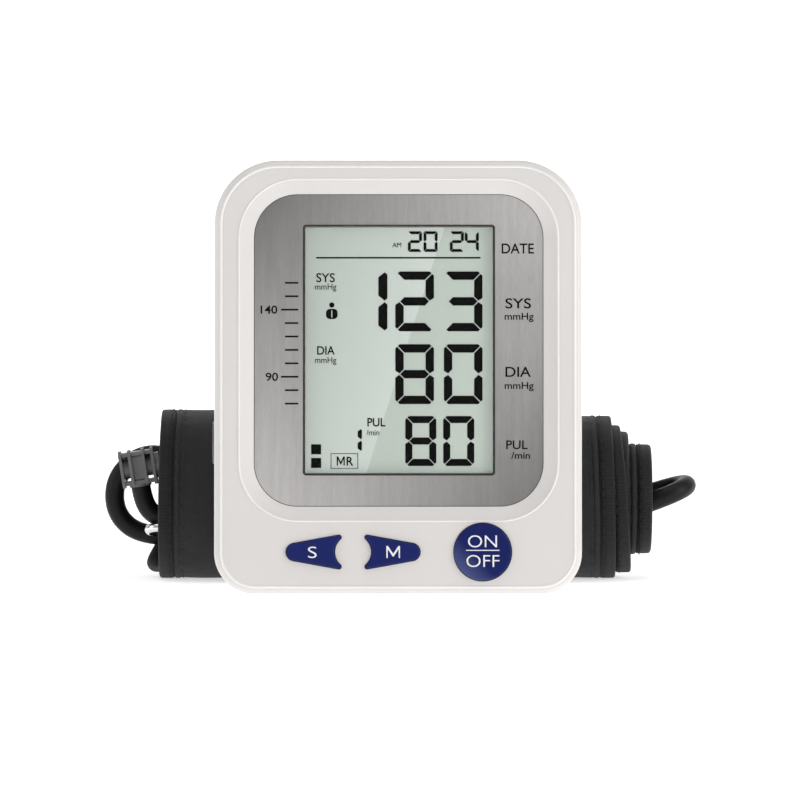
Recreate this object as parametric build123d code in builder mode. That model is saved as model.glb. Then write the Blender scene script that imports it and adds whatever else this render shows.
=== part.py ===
"""Upper arm blood pressure monitor: a standing display unit and its rolled arm cuff.

Millimetres, +Z up.  The origin is on the table under the middle of the display unit.
The display looks along -Y and leans back a few degrees; the rolled cuff lies behind it,
with its axis along X.
"""

import math
import os

from build123d import *

os.makedirs("parts", exist_ok=True)

# ---- display unit: driving dimensions ------------------------------------------------
housing_width = 110.4
housing_height = 130.4
top_corner = 19.2
bottom_corner = 12.4
lean = 4.0  # the face leans back by this many degrees
pad_recess = 0.9  # the rubber pads sit in the base, level with it
pad_radius = 4.0
past_back = 60.0  # deeper than the unit
face_y = -26.0  # front edge of the base
back_y = 26.0  # rear edge of the base
back_slope = 6.6  # the back leans forward by this many degrees
wall = 2.3
parting_depth = 16.0  # front and rear shells meet this far behind the face
face_floor = 4.8  # inside of the front wall, behind the panel
key_floor = 2.4  # inside of the front wall, behind the keys

panel_width, panel_height = 86.8, 93.7
panel_centre = (0.2, 73.2)
panel_corner = 13.0
panel_depth = 2.2
panel_thickness = 0.6
bevel = 4.5
window_width, window_height = 57.3, 75.0
window_centre = (0.3, 73.3)
window_thickness = 1.6

key_centre_v = 12.6
set_key_u = -25.3
memory_key_u = -1.65
power_key_u = 25.4
power_key_radius = 8.6
key_gap = 0.25
key_travel = 0.8
key_proud = 0.9

board_depth = 10.6
board_thickness = 1.6

bay_width, bay_height, bay_depth = 61.0, 56.0, 17.8
bay_centre_q = 36.0
bay_wall = 4.0
door_thickness = 2.0
door_clearance = 0.3
door_slide = 7.0
cell_diameter, cell_length = 14.2, 49.0

socket_v, socket_w = 46.0, -24.0
jack_v, jack_w = 30.0, -24.0

# ---- rolled cuff: driving dimensions -------------------------------------------------
roll_y = 53.5
core_radius = 11.0
padded_thickness = 3.8  # the part of the cuff that holds the bladder
tail_thickness = 1.5  # the plain hook-and-loop tail
turn_gap = 0.3
half_step = (padded_thickness + turn_gap) / 2
tail_step = (tail_thickness + turn_gap) / 2
roll_z = 26.6  # the outermost turn rests on the table
binding_width = 4.5
cover_thickness = 0.7
lining_thickness = 0.75
tube_diameter = 6.0
plug_tilt = 9.0
ring_wire = 2.8


def sin(angle):
    return math.sin(math.radians(angle))


def cos(angle):
    return math.cos(math.radians(angle))


def save(builder, name):
    """Labels a finished piece and writes it as its own STEP file."""
    builder.part.label = name
    export_step(builder.part, f"parts/{name}.step")


# ---- planes --------------------------------------------------------------------------
# face: u to the right, v up the front of the unit, w outwards
face = Plane(
    origin=(0, face_y, 0), x_dir=(1, 0, 0), z_dir=(0, -cos(lean), sin(lean))
)
# back: p to the left, q up the back of the unit, r outwards
back = Plane(
    origin=(0, back_y, 0),
    x_dir=(-1, 0, 0),
    z_dir=(0, cos(back_slope), sin(back_slope)),
)


def side_plane(x, v, w):
    """Plane square to X through a point given on the face's axes, looking along +X."""
    spot = face.from_local_coords((0, v, w))
    return Plane(origin=(x, spot.Y, spot.Z), x_dir=(0, 1, 0), z_dir=(1, 0, 0))


def roll_plane(x):
    """Plane square to the roll's axis: local x is +Y, local y is +Z."""
    return Plane(origin=(x, roll_y, roll_z), x_dir=(0, 1, 0), z_dir=(1, 0, 0))


# ---- shared profiles -----------------------------------------------------------------
def housing_outline(plane, inset=0.0):
    """Front outline of the unit: wide upper corners, tighter lower ones."""
    with BuildSketch(plane) as outline:
        with Locations((0, housing_height / 2)):
            Rectangle(housing_width - 2 * inset, housing_height - 2 * inset)
        fillet(outline.vertices().group_by(Axis.Y)[-1], top_corner - inset)
        fillet(outline.vertices().group_by(Axis.Y)[0], bottom_corner - inset)
    return outline.sketch


def side_profile(inset=0.0):
    """Side view of the unit: flat base and a back that leans forward."""
    reach = 90
    height = 150
    rear = back_y - inset / cos(back_slope)
    with BuildSketch(Plane.YZ) as profile:
        Polygon(
            (-reach, inset),
            (rear - inset * sin(back_slope), inset),
            (rear - height * sin(back_slope) / cos(back_slope), height),
            (-reach, height),
            align=None,
        )
    return profile.sketch


def key_outline(plane, centre_u, mirrored, grow=0.0):
    """Arrow-shaped key: round nose, two rounded horns and a hollow tail."""
    corner = 0.6
    nose_centre, nose_radius = -5.6, 2.0
    tail, horn, hollow = 7.6, 4.4, 2.0
    side = -1 if mirrored else 1

    def spot(x, y):
        return (centre_u + side * x, key_centre_v + y)

    with BuildSketch(plane) as outline:
        with BuildLine():
            tail_arc = ThreePointArc(spot(tail, horn), spot(tail - hollow, 0), spot(tail, -horn))
            nose_arc = ThreePointArc(
                spot(nose_centre, -nose_radius),
                spot(nose_centre - nose_radius, 0),
                spot(nose_centre, nose_radius),
            )
            Line(tail_arc @ 1, nose_arc @ 0)
            Line(nose_arc @ 1, tail_arc @ 0)
        make_face()
        offset(amount=corner + grow, kind=Kind.ARC)
    return outline.sketch


# ---- front housing -------------------------------------------------------------------
boss_spots = [(-46.5, 20.0), (46.5, 20.0), (-42.5, 112.5), (42.5, 112.5)]
boss_diameter = 7.0
screw_diameter = 2.6

with BuildPart() as front_cavity:
    extrude(housing_outline(face.offset(-parting_depth), wall), amount=parting_depth - face_floor)
    with BuildSketch(face.offset(-face_floor)):
        with Locations((0, key_centre_v - 0.3)):
            Rectangle(92, 19.4)
    extrude(amount=face_floor - key_floor)
    extrude(side_profile(wall), amount=housing_width, both=True, mode=Mode.INTERSECT)
    with BuildSketch(face.offset(-parting_depth)):
        with Locations(*boss_spots):
            Circle(boss_diameter / 2)
    extrude(amount=parting_depth, mode=Mode.SUBTRACT)

with BuildPart() as front_housing:
    extrude(housing_outline(face.offset(-parting_depth)), amount=parting_depth)
    fillet(front_housing.faces().sort_by(Axis.Y)[0].edges(), 2.3)
    extrude(side_profile(), amount=housing_width, both=True, mode=Mode.INTERSECT)
    # bevelled frame that leads down to the panel
    with BuildSketch(face.offset(-panel_depth)):
        with Locations(panel_centre):
            RectangleRounded(panel_width, panel_height, panel_corner)
    with BuildSketch(face):
        with Locations(panel_centre):
            RectangleRounded(
                panel_width + 2 * bevel, panel_height + 2 * bevel, panel_corner + bevel
            )
    loft(mode=Mode.SUBTRACT)
    # seat of the panel and opening for the display
    with BuildSketch(face.offset(-panel_depth)):
        with Locations(panel_centre):
            RectangleRounded(panel_width, panel_height, panel_corner)
    extrude(amount=-panel_thickness, mode=Mode.SUBTRACT)
    with BuildSketch(face.offset(-panel_depth)):
        with Locations(window_centre):
            RectangleRounded(window_width, window_height, 0.8)
    extrude(amount=-face_floor, mode=Mode.SUBTRACT)
    add(front_cavity.part, mode=Mode.SUBTRACT)
    # openings for the three keys
    for centre_u, mirrored in ((set_key_u, False), (memory_key_u, True)):
        opening = key_outline(face, centre_u, mirrored, key_gap)
        extrude(opening, amount=-face_floor, mode=Mode.SUBTRACT)
    with BuildSketch(face):
        with Locations((power_key_u, key_centre_v)):
            Circle(power_key_radius + key_gap)
    extrude(amount=-face_floor, mode=Mode.SUBTRACT)
    # pilot holes for the housing screws
    with BuildSketch(face.offset(-parting_depth)):
        with Locations(*boss_spots):
            Circle(screw_diameter / 2)
    extrude(amount=9, mode=Mode.SUBTRACT)
    # recesses for the two front feet
    with BuildSketch(Plane.XY):
        with Locations((-40, -18.5), (40, -18.5)):
            Circle(pad_radius + 0.1)
    extrude(amount=pad_recess, mode=Mode.SUBTRACT)
save(front_housing, "front_housing")

# ---- rear housing --------------------------------------------------------------------
block_width = bay_width + 2 * bay_wall
block_height = bay_height + 2 * bay_wall
recess_width = bay_width + 5.0
recess_height = bay_height + 4.5
recess_depth = door_thickness + door_clearance
screw_head_w = -26.0
screw_head_diameter, screw_head_height = 4.8, 2.0

with BuildPart() as rear_cavity:
    extrude(housing_outline(face.offset(-parting_depth), wall), amount=-past_back)
    extrude(side_profile(wall), amount=housing_width, both=True, mode=Mode.INTERSECT)
    with BuildSketch(face.offset(-parting_depth)):
        with Locations(*boss_spots):
            Circle(boss_diameter / 2 + 0.6)
    extrude(amount=-past_back, mode=Mode.SUBTRACT)
    with BuildSketch(back):
        with Locations((0, bay_centre_q + 2)):
            Rectangle(block_width, block_height + door_slide)
    extrude(amount=-(recess_depth + 2), mode=Mode.SUBTRACT)
    with BuildSketch(back):
        with Locations((0, bay_centre_q)):
            Rectangle(bay_width + 3.2, bay_height + 3.2)
    extrude(amount=-(bay_depth + 1.6), mode=Mode.SUBTRACT)

with BuildPart() as rear_housing:
    extrude(housing_outline(face.offset(-parting_depth)), amount=-past_back)
    extrude(side_profile(), amount=housing_width, both=True, mode=Mode.INTERSECT)
    fillet(rear_housing.faces().sort_by(Axis.Y)[-1].edges(), 2.5)
    add(rear_cavity.part, mode=Mode.SUBTRACT)
    # battery bay and the recess that its door slides in
    with BuildSketch(back):
        with Locations((0, bay_centre_q)):
            Rectangle(bay_width, bay_height)
    extrude(amount=-bay_depth, mode=Mode.SUBTRACT)
    with BuildSketch(back):
        with Locations((0, bay_centre_q + door_slide / 2)):
            RectangleRounded(recess_width, recess_height + door_slide, 2.0)
    extrude(amount=-recess_depth, mode=Mode.SUBTRACT)
    # counterbored screw holes
    with BuildSketch(face.offset(-parting_depth)):
        with Locations(*boss_spots):
            Circle(screw_diameter / 2 + 0.2)
    extrude(amount=-past_back, mode=Mode.SUBTRACT)
    with BuildSketch(face.offset(screw_head_w)):
        with Locations(*boss_spots):
            Circle(screw_head_diameter / 2 + 0.3)
    extrude(amount=-past_back, mode=Mode.SUBTRACT)
    # holes for the air socket on the left and the power jack on the right
    with BuildSketch(side_plane(-housing_width / 2 - 1, socket_v, socket_w)):
        Circle(5.0)
    extrude(amount=wall + 2, mode=Mode.SUBTRACT)
    with BuildSketch(side_plane(housing_width / 2 + 1, jack_v, jack_w)):
        Circle(4.2)
    extrude(amount=-(wall + 2), mode=Mode.SUBTRACT)
    # recesses for the two rear feet
    with BuildSketch(Plane.XY):
        with Locations((-40, 17.5), (40, 17.5)):
            Circle(pad_radius + 0.1)
    extrude(amount=pad_recess, mode=Mode.SUBTRACT)
save(rear_housing, "rear_housing")

with BuildPart() as housing_screws:
    with BuildSketch(face.offset(screw_head_w)):
        with Locations(*boss_spots):
            Circle(screw_head_diameter / 2)
    extrude(amount=-screw_head_height)
    with BuildSketch(face.offset(screw_head_w)):
        with Locations(*boss_spots):
            Circle(screw_diameter / 2)
    extrude(amount=-screw_head_w - 8.0)
    with BuildSketch(face.offset(screw_head_w - screw_head_height)):
        with Locations(*boss_spots):
            Rectangle(2.6, 0.5)
            Rectangle(0.5, 2.6)
    extrude(amount=1.0, mode=Mode.SUBTRACT)
save(housing_screws, "housing_screws")

with BuildPart() as rubber_feet:
    with BuildSketch(Plane.XY):
        with Locations((-40, -18.5), (40, -18.5), (-40, 17.5), (40, 17.5)):
            Circle(pad_radius)
    extrude(amount=pad_recess - 0.05)
    fillet(rubber_feet.edges().group_by(Axis.Z)[0], 0.3)
save(rubber_feet, "rubber_feet")

# ---- display -------------------------------------------------------------------------
with BuildPart() as display_panel:
    with BuildSketch(face.offset(-panel_depth)):
        with Locations(panel_centre):
            RectangleRounded(panel_width - 0.1, panel_height - 0.1, panel_corner)
        with Locations(window_centre):
            RectangleRounded(window_width, window_height, 0.8, mode=Mode.SUBTRACT)
    extrude(amount=-panel_thickness)
save(display_panel, "display_panel")

with BuildPart() as display_window:
    with BuildSketch(face.offset(-panel_depth)):
        with Locations(window_centre):
            RectangleRounded(window_width - 0.1, window_height - 0.1, 0.8)
    extrude(amount=-window_thickness)
save(display_window, "display_window")

lcd_front = panel_depth + window_thickness + 0.1
lcd_thickness = 2.8
lcd_width, lcd_height = 56.4, 74.0
with BuildPart() as lcd_glass:
    with BuildSketch(face.offset(-lcd_front)):
        with Locations(window_centre):
            Rectangle(lcd_width, lcd_height)
    extrude(amount=-lcd_thickness)
save(lcd_glass, "lcd_glass")

frame_back = board_depth - 0.1
with BuildPart() as lcd_frame:
    with BuildSketch(face.offset(-face_floor - 0.1)):
        with Locations(window_centre):
            Rectangle(lcd_width + 7, lcd_height + 7)
            Rectangle(lcd_width + 0.4, lcd_height + 0.4, mode=Mode.SUBTRACT)
    extrude(amount=-(frame_back - face_floor - 0.1))
    with BuildSketch(face.offset(-lcd_front - lcd_thickness - 0.1)):
        with Locations(window_centre):
            Rectangle(lcd_width + 7, lcd_height + 7)
            Rectangle(lcd_width - 6, lcd_height - 16, mode=Mode.SUBTRACT)
            with Locations((0, lcd_height / 2 - 3.5), (0, -lcd_height / 2 + 3.5)):
                Rectangle(lcd_width - 6, 3.6, mode=Mode.SUBTRACT)
    extrude(amount=-1.2)
save(lcd_frame, "lcd_frame")

with BuildPart() as zebra_connectors:
    with BuildSketch(face.offset(-lcd_front - lcd_thickness)):
        with Locations(window_centre):
            with Locations((0, lcd_height / 2 - 3.5), (0, -lcd_height / 2 + 3.5)):
                Rectangle(lcd_width - 8, 2.6)
    extrude(amount=-(board_depth - lcd_front - lcd_thickness))
save(zebra_connectors, "zebra_connectors")

# ---- circuit board -------------------------------------------------------------------
board_back = -board_depth - board_thickness
board_spots = [(-34.5, 40.0), (34.5, 40.0), (-34.5, 108.0), (34.5, 108.0)]
key_spots = [(set_key_u, key_centre_v), (memory_key_u, key_centre_v), (power_key_u, key_centre_v)]
with BuildPart() as main_board:
    with BuildSketch(face.offset(-board_depth)):
        with Locations((0, 61.5)):
            Rectangle(76, 112)
        with Locations(*board_spots):
            Circle(1.2, mode=Mode.SUBTRACT)
    extrude(amount=-board_thickness)
save(main_board, "main_board")

with BuildPart() as board_screws:
    with BuildSketch(face.offset(board_back)):
        with Locations(*board_spots):
            Circle(2.0)
    extrude(amount=-1.4)
    with BuildSketch(face.offset(board_back)):
        with Locations(*board_spots):
            Circle(1.0)
    extrude(amount=board_thickness)
save(board_screws, "board_screws")

switch_height = 2.4
with BuildPart() as tact_switches:
    with BuildSketch(face.offset(-board_depth)):
        with Locations(*key_spots):
            Rectangle(6, 6)
    extrude(amount=switch_height - 0.8)
    with BuildSketch(face.offset(-board_depth)):
        with Locations(*key_spots):
            Circle(1.7)
    extrude(amount=switch_height)
save(tact_switches, "tact_switches")

with BuildPart() as controller_chips:
    with BuildSketch(face.offset(board_back)):
        with Locations((-18, 98)):
            Rectangle(14, 14)
        with Locations((8, 110)):
            Rectangle(6, 5)
        with Locations((-30, 76)):
            Rectangle(5, 7)
    extrude(amount=-1.4)
save(controller_chips, "controller_chips")

with BuildPart() as pressure_sensor:
    with BuildSketch(face.offset(board_back)):
        with Locations((-27, 58)):
            Rectangle(9, 9)
    extrude(amount=-4.0)
    with BuildSketch(face.offset(board_back - 4.0)):
        with Locations((-27, 58)):
            Circle(1.5)
    extrude(amount=-3.5)
save(pressure_sensor, "pressure_sensor")

with BuildPart() as buzzer:
    with BuildSketch(face.offset(board_back)):
        with Locations((26, 116)):
            Circle(4.5)
            Circle(0.8, mode=Mode.SUBTRACT)
    extrude(amount=-3.5)
save(buzzer, "buzzer")

# ---- air system inside the unit ------------------------------------------------------
pump_v, pump_w = 80.0, -23.4
pump_radius = 9.6
with BuildPart() as pump_motor:
    with BuildSketch(side_plane(-6.0, pump_v, pump_w)):
        Circle(pump_radius)
    extrude(amount=24)
    chamfer(pump_motor.edges().filter_by(GeomType.CIRCLE), 0.8)
    with BuildSketch(side_plane(18.0, pump_v, pump_w)):
        Circle(2.5)
    extrude(amount=1.8)
save(pump_motor, "pump_motor")

with BuildPart() as pump_head:
    with BuildSketch(side_plane(-6.0, pump_v, pump_w)):
        RectangleRounded(2 * pump_radius, 2 * pump_radius, 2.5)
    extrude(amount=-13)
    with BuildSketch(side_plane(-19.0, pump_v, pump_w)):
        Circle(1.6)
    extrude(amount=-4.0)
save(pump_head, "pump_head")

with BuildPart() as motor_cushion:
    with BuildSketch(side_plane(-2.0, pump_v, pump_w)):
        Circle(pump_radius + 0.9)
        Circle(pump_radius + 0.05, mode=Mode.SUBTRACT)
    extrude(amount=14)
save(motor_cushion, "motor_cushion")

valve_v, valve_w = 104.0, -20.5
with BuildPart() as release_valve:
    with BuildSketch(side_plane(0.0, valve_v, valve_w)):
        RectangleRounded(11, 11, 1.0)
    extrude(amount=18)
    with BuildSketch(side_plane(0.0, valve_v, valve_w)):
        Circle(1.6)
    extrude(amount=-4.0)
save(release_valve, "release_valve")

manifold_x = -36.5
manifold_v, manifold_w = 80.0, -23.4
with BuildPart() as air_manifold:
    with BuildSketch(side_plane(manifold_x - 3, manifold_v, manifold_w)):
        RectangleRounded(8, 8, 1.5)
    extrude(amount=6)
    with BuildSketch(side_plane(manifold_x + 3, manifold_v, manifold_w)):
        Circle(1.6)
    extrude(amount=4)
save(air_manifold, "air_manifold")

socket_outer = -housing_width / 2
hose_diameter = 5.0
hose_bore = 3.3
with BuildPart() as pump_hose:
    with BuildSketch(side_plane(manifold_x + 3.1, pump_v, pump_w)):
        Circle(hose_diameter / 2)
        Circle(hose_bore / 2, mode=Mode.SUBTRACT)
    extrude(amount=-19.1 - manifold_x - 3.1)
save(pump_hose, "pump_hose")


def hose(points, bends):
    """Solid hose along straight runs joined by arcs."""
    with BuildLine() as route:
        FilletPolyline(*points, radius=bends)
    path = route.line
    with BuildSketch(Plane(origin=path @ 0, z_dir=path % 0)) as bore:
        Circle(hose_diameter / 2)
    sweep(bore.sketch, path=path)


def inner(u, v, w):
    """Point inside the unit, given on the face's axes."""
    return tuple(face.from_local_coords((u, v, w)))


with BuildPart() as valve_hose:
    hose(
        [
            inner(manifold_x, manifold_v + 4.4, manifold_w),
            inner(manifold_x, valve_v, valve_w),
            inner(-4.1, valve_v, valve_w),
        ],
        7.0,
    )
save(valve_hose, "valve_hose")

with BuildPart() as socket_hose:
    hose(
        [
            inner(manifold_x, manifold_v - 4.2, manifold_w),
            inner(manifold_x, socket_v, socket_w),
            inner(socket_outer + 8.3, socket_v, socket_w),
        ],
        6.0,
    )
save(socket_hose, "socket_hose")

socket_bore = 2.15
with BuildPart() as air_socket:
    with BuildSketch(side_plane(socket_outer, socket_v, socket_w)):
        Circle(4.8)
    extrude(amount=8.2)
    with BuildSketch(side_plane(socket_outer, socket_v, socket_w)):
        Circle(6.4)
    extrude(amount=-1.0)
    with BuildSketch(side_plane(socket_outer - 1.0, socket_v, socket_w)):
        Circle(socket_bore)
    extrude(amount=8.2, mode=Mode.SUBTRACT)
save(air_socket, "air_socket")

with BuildPart() as power_jack:
    with BuildSketch(side_plane(housing_width / 2 - 0.2, jack_v, jack_w)):
        Circle(4.0)
        Circle(2.75, mode=Mode.SUBTRACT)
    extrude(amount=-9.5)
    with BuildSketch(side_plane(housing_width / 2 - 9.7, jack_v, jack_w)):
        Circle(4.0)
    extrude(amount=-2.0)
    with BuildSketch(side_plane(housing_width / 2 - 9.7, jack_v, jack_w)):
        Circle(1.0)
    extrude(amount=8.0)
save(power_jack, "power_jack")

# ---- batteries -----------------------------------------------------------------------
cell_pitch = 15.0
cell_r = -(recess_depth + 0.4 + cell_diameter / 2)
cell_base_q = bay_centre_q - bay_height / 2 + 5.6


def bay_plane(q):
    """Plane across the battery bay at height q up the back; local y is outwards."""
    spot = back.from_local_coords((0, q, cell_r))
    return Plane(origin=spot, x_dir=(1, 0, 0), z_dir=back.y_dir)


cell_rows = [(cell_pitch * (i - 1.5), 0) for i in range(4)]
with BuildPart() as battery_cells:
    with BuildSketch(bay_plane(cell_base_q)):
        with Locations(*cell_rows):
            Circle(cell_diameter / 2)
    extrude(amount=cell_length - 1.2)
    chamfer(battery_cells.edges().filter_by(GeomType.CIRCLE), 0.5)
    with BuildSketch(bay_plane(cell_base_q + cell_length - 1.2)):
        with Locations(*cell_rows):
            Circle(2.7)
    extrude(amount=1.2)
save(battery_cells, "battery_cells")

with BuildPart() as contact_plates:
    with BuildSketch(bay_plane(bay_centre_q + bay_height / 2 - 0.5)):
        with Locations(*cell_rows):
            Rectangle(11, 10)
    extrude(amount=0.4)
save(contact_plates, "contact_plates")

with BuildPart() as contact_springs:
    spring_height = 5.1
    spring_wire = 0.8
    for u, _ in cell_rows:
        seat = bay_plane(bay_centre_q - bay_height / 2 + 0.1)
        foot = Plane(origin=seat.from_local_coords((u, 0, spring_wire / 2)), z_dir=seat.z_dir)
        coil = Helix(
            pitch=1.4,
            height=spring_height - spring_wire - 0.1,
            radius=4.2,
            cone_angle=-14,
            mode=Mode.PRIVATE,
        ).moved(foot.location)
        with BuildSketch(Plane(origin=coil @ 0, z_dir=coil % 0)):
            Circle(spring_wire / 2)
        sweep(path=coil, is_frenet=True)
save(contact_springs, "contact_springs")

with BuildPart() as battery_door:
    with BuildSketch(back.offset(-door_thickness)):
        with Locations((0, bay_centre_q)):
            RectangleRounded(
                recess_width - 2 * door_clearance, recess_height - 2 * door_clearance, 1.8
            )
    extrude(amount=door_thickness)
    with BuildSketch(back):
        with Locations((0, bay_centre_q + 20)):
            with GridLocations(0, 3.0, 1, 4):
                RectangleRounded(18, 1.2, 0.55)
    extrude(amount=0.5)
save(battery_door, "battery_door")

# ---- keys ----------------------------------------------------------------------------
flange_depth = key_floor + 0.3
stem_depth = board_depth - switch_height - key_travel - 0.2


def arrow_key(centre_u, mirrored):
    """Arrow key: cap, retaining flange behind the front wall and stem to its switch."""
    seat = face.offset(-flange_depth)
    extrude(key_outline(seat, centre_u, mirrored), amount=flange_depth + key_proud)
    extrude(key_outline(seat, centre_u, mirrored, 0.9), amount=-0.8)
    with BuildSketch(face.offset(-flange_depth - 0.8)) as stem:
        with Locations((centre_u, key_centre_v)):
            Circle(1.6)
    extrude(stem.sketch, amount=-(stem_depth - flange_depth - 0.8))


with BuildPart() as set_button:
    arrow_key(set_key_u, False)
    fillet(set_button.faces().sort_by(Axis.Y)[0].edges(), 0.5)
save(set_button, "set_button")

with BuildPart() as memory_button:
    arrow_key(memory_key_u, True)
    fillet(memory_button.faces().sort_by(Axis.Y)[0].edges(), 0.5)
save(memory_button, "memory_button")

with BuildPart() as power_button:
    with BuildSketch(face.offset(-flange_depth)):
        with Locations((power_key_u, key_centre_v)):
            Circle(power_key_radius)
    extrude(amount=flange_depth + key_proud)
    fillet(power_button.faces().sort_by(Axis.Y)[0].edges(), 0.6)
    with BuildSketch(face.offset(-flange_depth)):
        with Locations((power_key_u, key_centre_v)):
            Circle(power_key_radius + 0.6)
    extrude(amount=-0.8)
    with BuildSketch(face.offset(-flange_depth - 0.8)):
        with Locations((power_key_u, key_centre_v)):
            Circle(1.6)
    extrude(amount=-(stem_depth - flange_depth - 0.8))
save(power_button, "power_button")


# ---- rolled cuff ---------------------------------------------------------------------
class HalfTurn:
    """One half turn of the roll: its centre, inner radius, angles, thickness and ends."""

    def __init__(self, centre, radius, start, sweep_angle, thickness, left, right):
        self.centre = centre
        self.radius = radius
        self.start = start
        self.sweep_angle = sweep_angle
        self.thickness = thickness
        self.left = left
        self.right = right


def rolled_turns():
    """Half turns from the D-ring outwards; each one is wider than the last by one step."""
    steps = [0.0] + [half_step] * 6 + [tail_step] * 2
    left_ends = [-64.0, -64.0, -64.0, -67.0, -70.0, -72.0, -76.0, -75.0, -75.0]
    right_ends = [79.0, 79.0, 79.0, 72.0, 71.0, 70.0, 72.5, 66.5, 67.5]
    turns = []
    centre, radius = 0.0, core_radius
    for index, step in enumerate(steps):
        upper = index % 2 == 1
        radius += step
        centre += -step if upper else step
        start, sweep_angle = (0, 180) if upper else (180, 180)
        if index == 0:
            centre, start, sweep_angle = 0.0, 280, 80
        if index == len(steps) - 1:
            sweep_angle = 95
        padded = index <= 4
        thickness = padded_thickness if padded else tail_thickness
        ends = (left_ends[index], right_ends[index])
        turns.append(HalfTurn(centre, radius, start, sweep_angle, thickness, *ends))
    return turns


turns = rolled_turns()
padded_turns = turns[:5]
tail_turns = turns[5:]


def sector(turn, inner_offset, outer_offset, left, right, start=None, sweep_angle=None):
    """Adds one curved layer of a half turn, between two offsets from its inner face."""
    start = turn.start if start is None else start
    sweep_angle = turn.sweep_angle if sweep_angle is None else sweep_angle
    with BuildSketch(roll_plane(left)) as layer:
        with BuildLine():
            near = CenterArc((turn.centre, 0), turn.radius + inner_offset, start, sweep_angle)
            far = CenterArc((turn.centre, 0), turn.radius + outer_offset, start, sweep_angle)
            Line(near @ 0, far @ 0)
            Line(near @ 1, far @ 1)
        make_face()
    extrude(layer.sketch, amount=right - left)


with BuildPart() as cuff_cover:
    for turn in turns:
        inside = binding_width
        left, right = turn.left + inside, turn.right - inside
        sector(turn, turn.thickness - cover_thickness, turn.thickness, left, right)
    # where the padded part ends, the cover steps down to the tail
    step_down = turns[5]
    sector(
        step_down,
        tail_thickness - cover_thickness,
        padded_thickness,
        step_down.left + inside,
        step_down.right - inside,
        start=0,
        sweep_angle=3,
    )
save(cuff_cover, "cuff_cover")

with BuildPart() as cuff_lining:
    for turn in turns[:-1]:
        left, right = turn.left + binding_width, turn.right - binding_width
        sector(turn, 0.0, lining_thickness, left, right)
save(cuff_lining, "cuff_lining")

with BuildPart() as hook_patch:
    last = turns[-1]
    sector(last, 0.0, lining_thickness, last.left + 12, last.right - 12)
save(hook_patch, "hook_patch")

with BuildPart() as cuff_bladder:
    for turn in padded_turns[1:]:
        sector(
            turn,
            lining_thickness + 0.05,
            padded_thickness - cover_thickness - 0.05,
            turn.left + 10,
            turn.right - 10,
        )
save(cuff_bladder, "cuff_bladder")

with BuildPart() as cuff_binding_left:
    for turn in turns:
        sector(turn, 0.0, turn.thickness, turn.left, turn.left + binding_width)
    sector(turns[5], 0.0, padded_thickness, turns[5].left, turns[5].left + binding_width, 0, 3)
save(cuff_binding_left, "cuff_binding_left")

with BuildPart() as cuff_binding_right:
    for turn in turns:
        sector(turn, 0.0, turn.thickness, turn.right - binding_width, turn.right)
    sector(turns[5], 0.0, padded_thickness, turns[5].right - binding_width, turns[5].right, 0, 3)
save(cuff_binding_right, "cuff_binding_right")

# D-ring: a long wire loop inside the core, held by a folded cloth loop
ring_left, ring_right = -78.8, 70.0
ring_near = (-8.3, -10.6)
ring_far = (-0.8, -12.4)
ring_span = math.dist(ring_near, ring_far)
ring_length = ring_right - ring_left - ring_wire
ring_tilt = math.degrees(math.atan2(ring_far[1] - ring_near[1], ring_far[0] - ring_near[0]))
ring_plane = Plane(
    origin=(
        (ring_left + ring_right) / 2,
        roll_y + (ring_near[0] + ring_far[0]) / 2,
        roll_z + (ring_near[1] + ring_far[1]) / 2,
    ),
    x_dir=(1, 0, 0),
    z_dir=(0, -sin(ring_tilt), cos(ring_tilt)),
)
with BuildPart() as d_ring:
    with BuildSketch(ring_plane, mode=Mode.PRIVATE) as ring_outline:
        RectangleRounded(ring_length, ring_span, 3.4)
    wire = ring_outline.sketch.face().outer_wire()
    with BuildSketch(Plane(origin=wire @ 0, z_dir=wire % 0)):
        Circle(ring_wire / 2)
    sweep(path=wire)
save(d_ring, "d_ring")

with BuildPart() as ring_loop:
    with BuildSketch(roll_plane(-54.0)):
        with Locations(ring_far):
            Circle(ring_wire / 2 + 0.85)
        with Locations((ring_far[0] + 1.9, ring_far[1] - 0.45)):
            Rectangle(2.2, 2.4)
        with Locations(ring_far):
            Circle(ring_wire / 2 + 0.1, mode=Mode.SUBTRACT)
    extrude(amount=112)
save(ring_loop, "ring_loop")

# port where the air tube leaves the edge of the cuff
port_y, port_z = 9.5, -14.1
port_turn = turns[2]
with BuildPart() as tube_port:
    port_angle = math.degrees(math.atan2(port_z, port_y)) + 360
    sector(port_turn, 0.2, 3.6, -70.4, -64.0, start=port_angle - 16, sweep_angle=32)
    with BuildSketch(roll_plane(-72.0)):
        with Locations((port_y, port_z)):
            Circle(3.8)
    extrude(amount=1.6)
save(tube_port, "tube_port")

# ---- air tube ------------------------------------------------------------------------
# from the port, round the left loop, through the core, round the right loop, back
# through the core and up to the plug; each point is (x, behind, above) the roll's axis
tube_route = [
    (-72.0, 9.5, -14.1),
    (-80.6, 9.5, -14.1),
    (-88.5, 9.2, -7.4),
    (-88.8, 8.8, 3.4),
    (-81.6, 8.4, 11.0),
    (-72.8, 7.6, 11.6),
    (-62.0, 3.8, 4.2),
    (-42.0, 3.6, 2.4),
    (-6.0, 4.8, 0.7),
    (32.0, 3.8, -0.7),
    (56.0, 4.6, -1.5),
    (73.0, 7.0, -2.5),
    (86.3, 7.4, 1.7),
    (90.9, 0.0, 2.6),
    (86.3, -7.4, 0.2),
    (73.0, -7.0, -4.8),
    (56.0, -5.6, -5.3),
    (32.0, -6.4, -5.0),
    (-6.0, -5.2, -5.9),
    (-42.0, -4.8, -6.6),
    (-61.5, -3.6, -7.9),
    (-70.4, -3.7, -8.7),
    (-76.1, -3.9, -7.0),
    (-79.17, -4.0, -2.77),
    (-79.92, -4.0, 2.01),
]
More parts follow.
